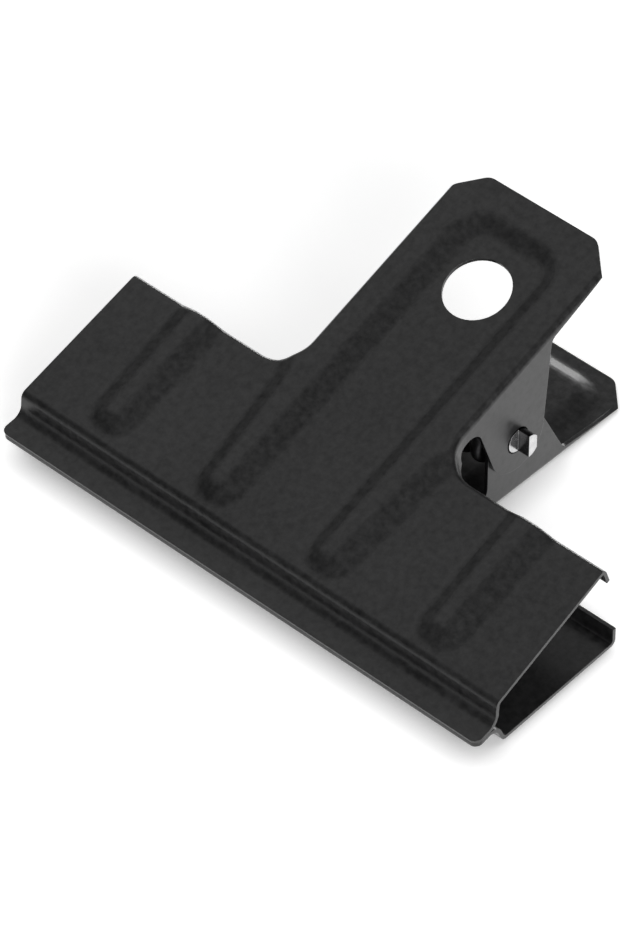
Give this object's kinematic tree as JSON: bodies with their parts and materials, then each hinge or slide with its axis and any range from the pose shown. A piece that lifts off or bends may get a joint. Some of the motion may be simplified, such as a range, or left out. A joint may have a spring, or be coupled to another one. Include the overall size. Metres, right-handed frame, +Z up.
{
  "type": "bulldog clip",
  "caption": "Wide sprung paper clip of stamped sheet: two ribbed T-shaped plates hinged on a pin through their ears, with hanging holes in the handles.",
  "frame": {"origin": "centre of the bounding box, on the table under the lower plate's rib crests", "axes": "+X across the jaws, +Y from the lips to the handle end, +Z up, out of the lower plate"},
  "size_m": [0.076, 0.0596, 0.027],
  "materials": {
    "black_paint": "satin black baked paint on stamped steel",
    "pin_steel": "steel rod with bare sheared ends",
    "spring_steel": "drawn spring wire"
  },
  "bodies": {
    "lower_half": {"lower_jaw_plate": "black_paint", "pivot_pin": "pin_steel", "torsion_spring": "spring_steel"},
    "upper_half": {"upper_jaw_plate": "black_paint"}
  },
  "joints": [
    {"name": "jaw_hinge", "type": "hinge", "parent": "lower_half", "child": "upper_half", "pos_m": [0, 0.00681, 0.0092], "axis": [-1, 0, 0], "range_deg": [0, 60], "stiffness_Nm_per_rad": 0.6, "springref_deg": -34.38, "deforming": ["torsion_spring"]}
  ]
}
